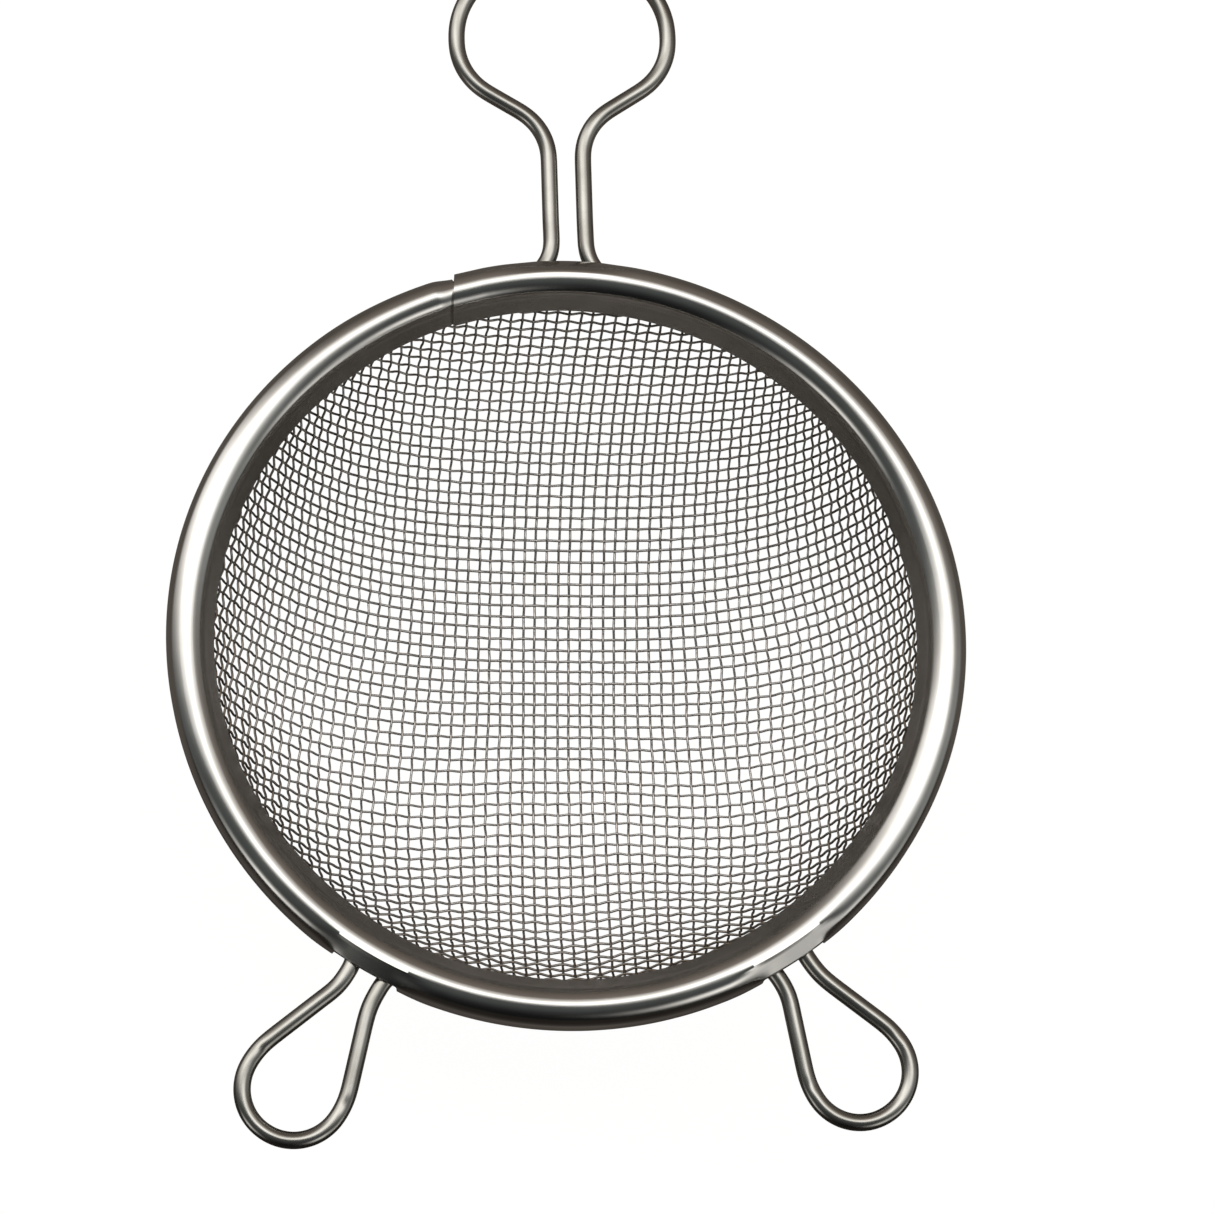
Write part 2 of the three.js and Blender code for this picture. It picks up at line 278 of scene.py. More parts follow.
def rim_stations():
    """Polar angles of the strip's cross-sections, closer where its shape changes."""
    start = SEAM_ANGLE - TONGUE_ANGLE
    end = SEAM_ANGLE + 360
    angles = list(np.linspace(start, end, RIM_STATIONS))
    for place, _, notch_half in LEG_PLACES:
        for side in (-1, 1):
            near = np.r_[np.linspace(notch_half - 0.05, notch_half + CUT_EDGE + 0.05, 16),
                         np.linspace(0, notch_half - 0.2, 12),
                         np.linspace(notch_half + CUT_EDGE + 0.15, PRESS_END + 1, 12)]
            angles += [place + side * math.degrees(x / RIM_RADIUS) for x in near]
    angles += list(np.linspace(start, SEAM_ANGLE + 6, 40))
    angles += list(np.linspace(SEAM_ANGLE + 0.2, SEAM_ANGLE + 0.8, 12))
    angles = [start + (a - start) % 360 if a != end else a for a in angles]
    angles = np.unique(np.round(angles, 4))
    gaps = np.r_[True, np.diff(angles) > 0.02]
    return angles[gaps]


def thicken(line, thickness):
    """Closed outline of a sheet about its middle line."""
    along = np.gradient(line, axis=0)
    along /= np.linalg.norm(along, axis=1)[:, None]
    across = np.stack([-along[:, 1], along[:, 0]], 1) * thickness / 2
    return np.concatenate([line + across, (line - across)[::-1]])


def shift_inward(line, distance):
    """Moves a line to its concave side by a distance."""
    along = np.gradient(line, axis=0)
    along /= np.linalg.norm(along, axis=1)[:, None]
    return line + np.stack([along[:, 1], -along[:, 0]], 1) * distance


TUCK = SHEET + 0.04   # how deep the hidden end of the strip lies
TUCK_QUICK = 0.72     # share of the tuck that fades close to the seam
TUCK_SLOW = 0.28      # share that fades further on
SEAM_SLOT = 0.41      # how much deeper it lies right beside the visible end
TWO_WAVE = 0.03       # slight waves of the rim's radius, two and five to the turn
TWO_WAVE_START = 40
FIVE_WAVE = 0.02
RIM_SPREAD = 0.03     # how much wider the whole rim is
RIM_SKEW = 0.17       # how far the rim is pulled out of true, across the diagonals
STRIP_WIDTH = 4.0     # from the crown's outside to the skirt, in plan
SKEW_REACH = 12       # degrees of strip that the skewed end affects
END_SKEW = 2.0        # degrees by which the visible end is cut askew


def build_rim(material):
    angles = rim_stations()
    end = angles[-1]
    rings = []
    for angle in angles:
        line = rim_line(angle)
        # the first few degrees of the strip lie one sheet deeper, under its other end
        quick = TUCK_QUICK * smoothstep(angle, SEAM_ANGLE + 0.3, SEAM_ANGLE + 4)
        slow = TUCK_SLOW * smoothstep(angle, SEAM_ANGLE + 3, SEAM_ANGLE + 22)
        tucked = TUCK * (1 - quick - slow)
        slot = 1 - smoothstep(angle, SEAM_ANGLE + 0.3, SEAM_ANGLE + 0.65)
        line = shift_inward(line, tucked + SEAM_SLOT * slot)
        outline = thicken(line, SHEET)
        wander = TWO_WAVE * math.sin(math.radians(2 * angle + TWO_WAVE_START))
        wander += FIVE_WAVE * math.sin(math.radians(5 * angle))
        wander += RIM_SPREAD - RIM_SKEW * math.sin(math.radians(2 * angle))
        r = outline[:, 0] + wander
        slant = (RIM_RADIUS - outline[:, 0]) / STRIP_WIDTH
        skew = END_SKEW * smoothstep(angle, end - SKEW_REACH, end) * slant
        a = np.radians(angle + skew)
        rings.append(np.stack([r * np.cos(a), r * np.sin(a) * OVALITY, outline[:, 1]], 1))
    sides = len(rings[0])
    points = np.concatenate(rings)
    faces = grid_faces(len(rings), sides)
    piece = make_piece("rim_folded_strip", points, faces, material, sharp=38)
    finish_piece(piece, "rim_channel")


# ---- Bent wires -----------------------------------------------------------
def bent_route(corners, step):
    """Points along straight runs whose corners are rounded with given bend radii."""
    points = [np.array(corners[0][0], float)]
    for i in range(1, len(corners) - 1):
        at, bend = np.array(corners[i][0], float), corners[i][1]
        back = np.array(corners[i - 1][0]) - at
        ahead = np.array(corners[i + 1][0]) - at
        back /= np.linalg.norm(back)
        ahead /= np.linalg.norm(ahead)
        half = math.acos(float(np.clip(back @ ahead, -1, 1))) / 2
        middle = (back + ahead) / np.linalg.norm(back + ahead)
        side = (ahead - back) / np.linalg.norm(ahead - back)
        centre = at + middle * bend / math.sin(half)
        sweep = math.pi / 2 - half
        count = max(3, int(2 * sweep * bend / step))
        for t in np.linspace(-sweep, sweep, count):
            points.append(centre - middle * bend * math.cos(t) + side * bend * math.sin(t))
    points.append(np.array(corners[-1][0], float))
    return np.array(points)


def resample(points, step):
    lengths = np.r_[0, np.cumsum(np.linalg.norm(np.diff(points, axis=0), axis=1))]
    places = np.linspace(0, lengths[-1], max(3, int(lengths[-1] / step)))
    return np.stack([np.interp(places, lengths, points[:, k]) for k in range(points.shape[1])], 1)


def relax(points, rounds):
    """Softens the change of curvature between straights and bends."""
    for _ in range(rounds):
        points[1:-1] = 0.5 * points[1:-1] + 0.25 * (points[:-2] + points[2:])
    return points


def mirrored(half):
    other = [((-at[0], at[1]), bend) for at, bend in half]
    return other + half[::-1]


def toe_and_leg(channel, toe_bend):
    def in_channel(x):
        return (x, math.sqrt(channel * channel - x * x))
    return [(in_channel(NECK_HALF + TOE_LENGTH), None), (in_channel(NECK_HALF), toe_bend)]


LEAN_START = 39.0     # distance from the middle where a leaning wire starts to turn
LEAN_PIVOT = 40.0     # the place it turns about
LEAN_FULL = 44.0      # where it has turned fully

# Small flats that the bending tool left on top of the rest loops.
LOOP_MARKS = ((0.33, 1.2), (0.67, 1.9))


def lean_over(route, lean):
    """Turns the part of a route beyond the rim by an angle, about the rim's edge."""
    turn = math.radians(lean) * smoothstep(route[:, 1], LEAN_START, LEAN_FULL)
    x, y = route[:, 0], route[:, 1] - LEAN_PIVOT
    return np.stack([x * np.cos(turn) - y * np.sin(turn),
                     x * np.sin(turn) + y * np.cos(turn) + LEAN_PIVOT], 1)


WIRE_STEP = 0.22      # between cross-sections
BEND_STEP = 0.1       # between points of a bend
WIRE_SIDES = 32
RELAX_ROUNDS = 12
END_ROUND = 0.3       # length over which a wire's end is rounded
MARK_DEPTH = 0.07
MARK_LENGTH = 0.7


def build_wire(name, node, corners, turn, lean, material, marks):
    """A round wire along a flat route, turned about Z and laid at the wires' level.
    The lean is in degrees, anticlockwise seen from above. Marks are (place from 0 to
    1, side) where a forming tool has left a small flat."""
    route = relax(resample(bent_route(corners, BEND_STEP), WIRE_STEP), RELAX_ROUNDS)
    route = lean_over(route, lean)
    rings = []
    uv = []
    count = len(route)
    along = np.gradient(route, axis=0)
    along /= np.linalg.norm(along, axis=1)[:, None]
    across = np.stack([-along[:, 1], along[:, 0]], 1)
    around = np.linspace(0, 2 * math.pi, WIRE_SIDES, endpoint=False)
    for i in range(count):
        ends = min(i, count - 1 - i) * WIRE_STEP
        radius = WIRE / 2
        if ends <= END_ROUND:
            radius *= math.sqrt(max(0.25, 1 - (1 - ends / END_ROUND) ** 2 * 0.75))
        reach = np.full(WIRE_SIDES, radius)
        for place, facing in marks:
            away = (i / count - place) * count * WIRE_STEP
            dent = MARK_DEPTH * math.exp(-(away / MARK_LENGTH) ** 2)
            reach -= dent * np.clip(np.cos(around - facing), 0, 1) ** 3
        flat = reach * np.cos(around)
        up = reach * np.sin(around)
        plan = route[i] + across[i] * flat[:, None]
        rings.append(np.column_stack([plan, up]))
        uv += [(i * WIRE_STEP, j / WIRE_SIDES) for j in range(WIRE_SIDES)]
    points = np.concatenate(rings)
    a = math.radians(turn)
    spin = np.array([[math.cos(a), math.sin(a), 0], [-math.sin(a), math.cos(a), 0], [0, 0, 1]])
    points = points @ spin + np.array([0, 0, WIRE_LEVEL])
    faces = grid_faces(count, WIRE_SIDES)
    piece = make_piece(name, points, faces, material, sharp=50, uv=uv)
    finish_piece(piece, node)


def handle_corners():
    reach = wire_high.y - WIRE / 2
    half_width = wire_high.x - WIRE / 2
    half = toe_and_leg(TOE_RADIUS * OVALITY, HANDLE_TOE_BEND) + [
        ((NECK_HALF, HANDLE_NECK_END), HANDLE_NECK_BEND),
        ((half_width, HANDLE_SHOULDER), HANDLE_SHOULDER_BEND),
        ((half_width, reach), HANDLE_END_BEND),
    ]
    return mirrored(half)


def loop_corners(loop):
    a = math.radians(loop["angle"])
    channel = 1 / math.hypot(math.sin(a) / TOE_RADIUS, math.cos(a) / (TOE_RADIUS * OVALITY))
    half = toe_and_leg(channel, LOOP_TOE_BEND) + [
        ((NECK_HALF, LOOP_NECK_END), LOOP_NECK_BEND),
        ((LOOP_HALF, loop["spread_end"]), LOOP_SPREAD_BEND),
        ((LOOP_HALF, loop["reach"]), LOOP_END_BEND),
    ]
    return mirrored(half)


# ---- Woven cloth ------------------------------------------------------------
SLOPE_END = math.radians(BOWL_SLOPE)
SKIRT_EDGE = (CROWN_R - CROWN_MIDDLE * math.sin(math.radians(CREASE_TURN))
              - SKIRT_LENGTH * math.cos(math.radians(SKIRT_SLOPE)))
BRIM = SKIRT_EDGE + (SHEET / 2 + FIT_GAP + CLOTH / 2) / math.sin(SLOPE_END)
WALL_RADIUS = (BRIM - BOWL_FLAT) / math.sin(SLOPE_END)


def bowl_height(r):
    """Height of the cloth's middle surface at radius r, and its slope dz/dr."""
    x = r - BOWL_FLAT
    if x <= 0:
        return CLOTH / 2, 0.0
    if r >= BRIM:
        steep = math.tan(SLOPE_END)
        return CLOTH / 2 + WALL_RADIUS * (1 - math.cos(SLOPE_END)) + (r - BRIM) * steep, steep
    drop = math.sqrt(WALL_RADIUS ** 2 - x * x)
    return CLOTH / 2 + WALL_RADIUS - drop, x / drop


def on_bowl(x, y):
    """Height and gradient of the oval bowl at a place in plan."""
    r = math.hypot(x, y / OVALITY)
    z, steep = bowl_height(r)
    if r < 1e-9:
        return z, 0.0, 0.0
    return z, steep * x / r, steep * y / (r * OVALITY * OVALITY)


def meet(a, b, pitch_a, pitch_b, guess):
    """The point of the bowl at given distances from two others, near a guess."""
    x, y = guess
    for _ in range(8):
        z, gx, gy = on_bowl(x, y)
        f = (x - a[0]) ** 2 + (y - a[1]) ** 2 + (z - a[2]) ** 2 - pitch_a ** 2
        g = (x - b[0]) ** 2 + (y - b[1]) ** 2 + (z - b[2]) ** 2 - pitch_b ** 2
        fx, fy = 2 * (x - a[0] + (z - a[2]) * gx), 2 * (y - a[1] + (z - a[2]) * gy)
        ux, uy = 2 * (x - b[0] + (z - b[2]) * gx), 2 * (y - b[1] + (z - b[2]) * gy)
        det = fx * uy - fy * ux
        if abs(det) < 1e-6:
            break
        dx = (f * uy - g * fy) / det
        dy = (g * fx - f * ux) / det
        size = math.hypot(dx, dy)
        limit = min(1.0, 0.5 / size) if size > 0 else 1.0
        x -= dx * limit
        y -= dy * limit
        if size < 1e-5:
            break
    return np.array([x, y, on_bowl(x, y)[0]])


def seed_line(heading, bend, pitch, count):
    """Places along the cloth from the bottom, starting at a heading in plan
    (radians) that turns by bend on the way to the rim."""
    points = [np.array([0.0, 0.0, on_bowl(0, 0)[0]])]
    for i in range(count):
        turn = heading + bend * smoothstep(i / count, 0.15, 1.0)
        x, y, z = points[-1]
        step = pitch
        for _ in range(6):
            nx, ny = x + step * math.cos(turn), y + step * math.sin(turn)
            span = math.sqrt((nx - x) ** 2 + (ny - y) ** 2 + (on_bowl(nx, ny)[0] - z) ** 2)
            step *= pitch / span
        points.append(np.array([nx, ny, on_bowl(nx, ny)[0]]))
    return points


# How the cloth was pulled in pressing: turn of each seed line by the time it
# reaches the rim, in degrees, for the directions +X, +Y, -X and -Y.
SEED_BENDS = (26, -9, -26, 0)
NET_REACH = 41        # crossings from the bottom to each side of the net
NET_OVER = 2.5        # height above the cloth's edge where the net stops growing
NET_PINCH = 0.35      # cells with a diagonal under this share of the pitch are left out


def weave_net():
    """Crossings of the cloth: every wire keeps its pitch while the cloth shears."""
    size = 2 * NET_REACH + 1
    net = np.full((size, size, 3), np.nan)
    mid = NET_REACH
    for k, bend in enumerate(SEED_BENDS):
        heading = k * math.pi / 2
        pitch = COLUMN_PITCH if k % 2 == 0 else ROW_PITCH
        for i, point in enumerate(seed_line(heading, math.radians(bend), pitch, NET_REACH)):
            step = (i, 0), (0, i), (-i, 0), (0, -i)
            net[mid + step[k][0], mid + step[k][1]] = point
    for sx in (1, -1):
        for sy in (1, -1):
            for i in range(1, NET_REACH + 1):
                for j in range(1, NET_REACH + 1):
                    a = net[mid + sx * (i - 1), mid + sy * j]
                    b = net[mid + sx * i, mid + sy * (j - 1)]
                    c = net[mid + sx * (i - 1), mid + sy * (j - 1)]
                    if np.isnan(a[0]) or np.isnan(b[0]):
                        continue
                    if max(a[2], b[2]) > CLOTH_TOP + NET_OVER:
                        continue
                    guess = (a + b - c)[:2]
                    point = meet(a, b, COLUMN_PITCH, ROW_PITCH, guess)
                    if np.linalg.norm(point - c) < NET_PINCH * ROW_PITCH:
                        continue
                    net[mid + sx * i, mid + sy * j] = point
    return net


def cloth_normal(point):
    _, gx, gy = on_bowl(point[0], point[1])
    n = np.array([-gx, -gy, 1.0])
    return n / np.linalg.norm(n)


def wire_samples(nodes, lift_sign, lift):
    """Centre line of one cloth wire through its crossings, four points a pitch."""
    nodes = np.array(nodes)
    count = len(nodes)
    ts = np.arange(0, count - 1 + 1e-6, 0.25)
    i = np.clip(ts.astype(int), 0, count - 2)
    f = (ts - i)[:, None]
    p0 = nodes[np.maximum(i - 1, 0)]
    p1 = nodes[i]
    p2 = nodes[i + 1]
    p3 = nodes[np.minimum(i + 2, count - 1)]
    centre = 0.5 * (2 * p1 + (p2 - p0) * f + (2 * p0 - 5 * p1 + 4 * p2 - p3) * f ** 2
                    + (3 * p1 - p0 - 3 * p2 + p3) * f ** 3)
    normals = np.array([cloth_normal(p) for p in centre])
    signs = np.array(lift_sign)[i][:, None]
    wave = signs * np.cos(math.pi * f)
    return centre + normals * wave * lift, normals


def cloth_wire_mesh(centre, normals, radius, sides):
    along = np.gradient(centre, axis=0)
    along /= np.linalg.norm(along, axis=1)[:, None]
    across = np.cross(along, normals)
    across /= np.linalg.norm(across, axis=1)[:, None]
    up = np.cross(across, along)
    around = np.linspace(0, 2 * math.pi, sides, endpoint=False)
    ring = (across[:, None, :] * np.cos(around)[None, :, None]
            + up[:, None, :] * np.sin(around)[None, :, None]) * radius
    return (centre[:, None, :] + ring).reshape(-1, 3)


def runs_inside(nodes, signs):
    """Splits a wire's crossings into runs that lie on the cloth."""
    run, marks = [], []
    for node, sign in zip(nodes, signs):
        inside = not np.isnan(node[0]) and node[2] <= CLOTH_TOP + ROW_PITCH
        if inside:
            run.append(node)
            marks.append(sign)
        else:
            if len(run) >= 3:
                yield run, marks
            run, marks = [], []
    if len(run) >= 3:
        yield run, marks


WEFT_LIFT = 0.12      # how far the wires rise and dip at their crossings
WARP_LIFT = 0.14


# Where the bag bulges: polar angle, reach, distance, and the share of its height at
# which the bulge ends.
BULGES = (
    (-163, 48, 1.9, 1.0),
    (-130, 38, 2.2, 1.0),
    (-90, 30, 1.3, 1.0),
    (-42, 38, 2.4, 1.0),
    (-2, 38, 1.6, 0.95),
)


def bulge(net):
    """Pushes the wall of the bag outwards at mid height."""
    angle = np.degrees(np.arctan2(net[:, :, 1], net[:, :, 0]))
    share = np.clip((net[:, :, 2] - CLOTH) / (CLOTH_TOP - CLOTH), 0, 1)
    push = sum(size * bell(angle, place, reach)
               * np.sin(math.pi * np.clip(share / top, 0, 1) ** 0.8)
               for place, reach, size, top in BULGES)
    radius = np.hypot(net[:, :, 0], net[:, :, 1]) + 1e-9
    net[:, :, 0] += push * net[:, :, 0] / radius
    net[:, :, 1] += push * net[:, :, 1] / radius
    return net


CROSSING_JITTER = 0.014   # how far single crossings stray
WIRE_JITTER = 0.025       # how far whole cloth wires stray
WIRE_SWAY = 0.03
CLOTH_WIRE_SIDES = 6


def build_cloth(material):
    net = bulge(weave_net())
    size = net.shape[0]
    net = net + rng.normal(0, CROSSING_JITTER, net.shape)
    for i in range(size):
        net[i, :, 0] += WIRE_SWAY * math.sin(1.7 * i) + rng.normal(0, WIRE_JITTER)
        net[:, i, 1] += WIRE_SWAY * math.sin(2.3 * i) + rng.normal(0, WIRE_JITTER)
    parts = {
        "cloth_warp_left": [], "cloth_warp_right": [],
        "cloth_weft_near": [], "cloth_weft_far": [],
    }
    parity = np.fromfunction(lambda i, j: 1 - 2 * ((i + j) % 2), (size, size))
    for k in range(size):
        warp = "cloth_warp_left" if k < size // 2 else "cloth_warp_right"
        weft = "cloth_weft_near" if k < size // 2 else "cloth_weft_far"
        for run, marks in runs_inside(net[k], parity[k]):
            parts[warp].append(wire_samples(run, marks, WARP_LIFT))
        for run, marks in runs_inside(net[:, k], -parity[:, k]):
            parts[weft].append(wire_samples(run, marks, WEFT_LIFT))
    for name, wires in parts.items():
        points, faces = [], []
        total = 0
        for centre, normals in wires:
            inside = centre[:, 2] <= CLOTH_TOP
            centre, normals = centre[inside], normals[inside]
            if len(centre) < 4:
                continue
            tube = cloth_wire_mesh(centre, normals, CLOTH_WIRE / 2, CLOTH_WIRE_SIDES)
            faces += grid_faces(len(centre), CLOTH_WIRE_SIDES, total)
            points.append(tube)
            total += len(tube)
        piece = make_piece(name, np.concatenate(points), faces, material, sharp=75)
        finish_piece(piece, "mesh_bowl")


# ---- Materials ----------------------------------------------------------------
def node_material(name):
    material = bpy.data.materials.new(name)
    material.use_nodes = True
    tree = material.node_tree
    shader = tree.nodes["Principled BSDF"]
    shader.inputs["Metallic"].default_value = 1.0
    return material, tree, shader


def add(tree, kind, **settings):
    node = tree.nodes.new(kind)
    for key, value in settings.items():
        setattr(node, key, value)
    return node


def noise(tree, vector, scale, detail=3.0, roughness=0.55):
    node = add(tree, "ShaderNodeTexNoise")
    node.inputs["Scale"].default_value = scale
    node.inputs["Detail"].default_value = detail
    node.inputs["Roughness"].default_value = roughness
    tree.links.new(vector, node.inputs["Vector"])
    return node.outputs["Fac"]


def ramp(tree, value, stops):
    node = add(tree, "ShaderNodeValToRGB")
    elements = node.color_ramp.elements
    for i, (place, colour) in enumerate(stops):
        element = elements[i] if i < 2 else elements.new(place)
        element.position = place
        element.color = (*colour, 1)
    tree.links.new(value, node.inputs["Fac"])
    return node.outputs["Color"]


def map_range(tree, value, low, high):
    node = add(tree, "ShaderNodeMapRange")
    node.inputs["To Min"].default_value = low
    node.inputs["To Max"].default_value = high
    tree.links.new(value, node.inputs["Value"])
    return node.outputs["Result"]


def bump(tree, shader, height, strength, distance):
    node = add(tree, "ShaderNodeBump")
    node.inputs["Strength"].default_value = strength
    node.inputs["Distance"].default_value = distance
    tree.links.new(height, node.inputs["Height"])
    tree.links.new(node.outputs["Normal"], shader.inputs["Normal"])


def ring_coordinates(tree, along, across):
    """Coordinates that run round the Z axis, for marks left by rolling the rim."""
    place = add(tree, "ShaderNodeTexCoord").outputs["Object"]
    split = add(tree, "ShaderNodeSeparateXYZ")
    tree.links.new(place, split.inputs["Vector"])
    angle = add(tree, "ShaderNodeMath", operation="ARCTAN2")
    tree.links.new(split.outputs["Y"], angle.inputs[0])
    tree.links.new(split.outputs["X"], angle.inputs[1])
    flat = add(tree, "ShaderNodeVectorMath", operation="MULTIPLY")
    tree.links.new(place, flat.inputs[0])
    flat.inputs[1].default_value = (1, 1 / OVALITY, 0)
    radius = add(tree, "ShaderNodeVectorMath", operation="LENGTH")
    tree.links.new(flat.outputs["Vector"], radius.inputs[0])
    join = add(tree, "ShaderNodeCombineXYZ")
    tree.links.new(angle.outputs["Value"], join.inputs["X"])
    tree.links.new(radius.outputs["Value"], join.inputs["Y"])
    tree.links.new(split.outputs["Z"], join.inputs["Z"])
    scale = add(tree, "ShaderNodeVectorMath", operation="MULTIPLY")
    tree.links.new(join.outputs["Vector"], scale.inputs[0])
    scale.inputs[1].default_value = (along, across, across)
    return scale.outputs["Vector"], place


def rim_material():
    material, tree, shader = node_material("rolled_rim_steel")
    streaks, place = ring_coordinates(tree, 14, 9000)
    brushed = noise(tree, streaks, 1.0, detail=4)
    blotches = noise(tree, place, 140, detail=3)
    colour = ramp(tree, blotches, [(0.3, (0.54, 0.53, 0.505)), (0.72, (0.65, 0.64, 0.615))])
    tree.links.new(colour, shader.inputs["Base Color"])
    tree.links.new(map_range(tree, brushed, 0.11, 0.21), shader.inputs["Roughness"])
    bump(tree, shader, brushed, 0.12, 0.00002)
    return material


def wire_material():
    material, tree, shader = node_material("drawn_wire_steel")
    uv = add(tree, "ShaderNodeUVMap", uv_map="along").outputs["UV"]
    scale = add(tree, "ShaderNodeVectorMath", operation="MULTIPLY")
    tree.links.new(uv, scale.inputs[0])
    scale.inputs[1].default_value = (0.25, 40, 1)
    drawn = noise(tree, scale.outputs["Vector"], 1.0, detail=4)
    place = add(tree, "ShaderNodeTexCoord").outputs["Object"]
    blotches = noise(tree, place, 260, detail=3)
    colour = ramp(tree, blotches, [(0.3, (0.35, 0.34, 0.31)), (0.7, (0.46, 0.45, 0.42))])
    tree.links.new(colour, shader.inputs["Base Color"])
    tree.links.new(map_range(tree, drawn, 0.15, 0.28), shader.inputs["Roughness"])
    bump(tree, shader, drawn, 0.2, 0.00003)
    return material


# Painted shade: the cloth is darkened to a brown from this height up to the rim, most on the near
# side, standing in for the shade of the steep, dense cloth near the rim.
PAINTED_SHADE_FROM = 6.0
PAINTED_SHADE_FULL = 19.0
PAINTED_SHADE_SHARE = 0.95
FAR_SIDE_PAINTED_SHADE = 0.5   # the painted shade's share on the far side
SHADE_BROWN = (0.19, 0.155, 0.115)


def cloth_material():
    material, tree, shader = node_material("cloth_wire_steel")
    place = add(tree, "ShaderNodeTexCoord").outputs["Object"]
    blotches = noise(tree, place, 420, detail=3)
    grain = noise(tree, place, 5000, detail=2)
    colour = ramp(tree, blotches, [(0.3, (0.52, 0.49, 0.46)), (0.7, (0.68, 0.65, 0.62))])
    split = add(tree, "ShaderNodeSeparateXYZ")
    tree.links.new(place, split.inputs["Vector"])
    # painted shade: darker towards the rim, and more so on the near side
    painted_shade = ease(tree, split.outputs["Z"], PAINTED_SHADE_FROM * MM, PAINTED_SHADE_FULL * MM, 0.0, PAINTED_SHADE_SHARE)
    near_side = ease(tree, split.outputs["Y"], -10 * MM, 30 * MM, 1.0, FAR_SIDE_PAINTED_SHADE)
    painted_shade = math_node(tree, "MULTIPLY", painted_shade, near_side)
    blend = add(tree, "ShaderNodeMix", data_type="RGBA")
    tree.links.new(painted_shade, blend.inputs[0])
    tree.links.new(colour, blend.inputs[6])
    blend.inputs[7].default_value = (*SHADE_BROWN, 1)
    tree.links.new(blend.outputs[2], shader.inputs["Base Color"])
    tree.links.new(map_range(tree, grain, 0.28, 0.46), shader.inputs["Roughness"])
    bump(tree, shader, grain, 0.15, 0.00001)
    return material


def finish_piece(piece, node):
    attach(piece, "root")
    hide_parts(node)


# ---- Studio -----------------------------------------------------------------
PALE = (1.0, 1.0, 0.995)


def math_node(tree, operation, *values):
    """A math node whose inputs are numbers or other nodes' outputs."""
    node = add(tree, "ShaderNodeMath", operation=operation)
    for socket, value in zip(node.inputs, values):
        if isinstance(value, (int, float)):
            socket.default_value = value
        else:
            tree.links.new(value, socket)
    return node.outputs["Value"]


def ease(tree, value, low, high, start, end):
    node = add(tree, "ShaderNodeMapRange", interpolation_type="SMOOTHSTEP")
    for name, number in (("From Min", low), ("From Max", high), ("To Min", start), ("To Max", end)):
        node.inputs[name].default_value = number
    tree.links.new(value, node.inputs["Value"])
    return node.outputs["Result"]


def bell_node(tree, value, centre, width):
    """exp(-((value - centre) / width)^2), where width may be another output."""
    away = math_node(tree, "DIVIDE", math_node(tree, "SUBTRACT", value, centre), width)
    return math_node(tree, "EXPONENT", math_node(tree, "MULTIPLY", math_node(
        tree, "MULTIPLY", away, away), -1.0))


def tint(tree, strength, colour):
    node = add(tree, "ShaderNodeVectorMath", operation="SCALE")
    node.inputs[0].default_value = colour
    tree.links.new(strength, node.inputs["Scale"])
    return node.outputs["Vector"]


def total(tree, vectors):
    result = vectors[0]
    for vector in vectors[1:]:
        node = add(tree, "ShaderNodeVectorMath", operation="ADD")
        tree.links.new(result, node.inputs[0])
        tree.links.new(vector, node.inputs[1])
        result = node.outputs["Vector"]
    return result


FLOOR_HALF = 3000.0
FLOOR_DROP = 0.2      # how far the floor lies under the strainer
FLOOR_GLOW = 1.08     # its own light, which only the camera sees
FLOOR_MATT = 0.10     # share of it that takes shadows
FLOOR_TINT = (0.19, 0.165, 0.145)


def build_floor():
    """A pale floor that stays pale to the camera and dim in the steel."""
    half = FLOOR_HALF
    points = [(-half, -half, 0), (half, -half, 0), (half, half, 0), (-half, half, 0)]
    material = bpy.data.materials.new("studio_floor")
    material.use_nodes = True
    tree = material.node_tree
    tree.nodes.clear()
    out = add(tree, "ShaderNodeOutputMaterial")
    path = add(tree, "ShaderNodeLightPath")
    glow = add(tree, "ShaderNodeEmission")
    glow.inputs["Color"].default_value = (*PALE, 1)
    glow.inputs["Strength"].default_value = FLOOR_GLOW
    matt = add(tree, "ShaderNodeBsdfDiffuse")
    matt.inputs["Color"].default_value = (0.8, 0.8, 0.8, 1)
    pale = add(tree, "ShaderNodeMixShader")
    pale.inputs["Fac"].default_value = FLOOR_MATT
    tree.links.new(glow.outputs[0], pale.inputs[1])
    tree.links.new(matt.outputs[0], pale.inputs[2])
    dim = add(tree, "ShaderNodeEmission")
    place = add(tree, "ShaderNodeTexCoord").outputs["Object"]
    split = add(tree, "ShaderNodeSeparateXYZ")
    tree.links.new(place, split.inputs["Vector"])
    radius = add(tree, "ShaderNodeVectorMath", operation="LENGTH")
    tree.links.new(place, radius.inputs[0])
    # Seen only in the steel: a tone rising towards the far side, painted shade under the strainer,
    # and a painted bright spot just in front of its middle.
    open_floor = ease(tree, split.outputs["Y"], -0.09, 0.0, 0.12, 0.63)
    beyond = ease(tree, radius.outputs["Value"], 0.040, 0.050, 0.0, 1.0)
    shade = math_node(tree, "MULTIPLY", beyond, open_floor)
    under = ease(tree, radius.outputs["Value"], 0.040, 0.050, 0.18, 0.0)
    away = add(tree, "ShaderNodeVectorMath", operation="DISTANCE")
    tree.links.new(place, away.inputs[0])
    away.inputs[1].default_value = (0, -0.03, 0)
    spot = bell_node(tree, away.outputs["Value"], 0.0, 0.014)
    shade = math_node(tree, "ADD", math_node(tree, "ADD", shade, under),
                      math_node(tree, "MULTIPLY", spot, 0.75))
    tree.links.new(tint(tree, shade, FLOOR_TINT), dim.inputs["Color"])
    choose = add(tree, "ShaderNodeMixShader")
    tree.links.new(path.outputs["Is Camera Ray"], choose.inputs["Fac"])
    tree.links.new(dim.outputs[0], choose.inputs[1])
    tree.links.new(pale.outputs[0], choose.inputs[2])
    tree.links.new(choose.outputs[0], out.inputs["Surface"])
    floor = make_piece("studio_floor", points, [(0, 1, 2, 3)], material)
    floor.location.z = -FLOOR_DROP * MM


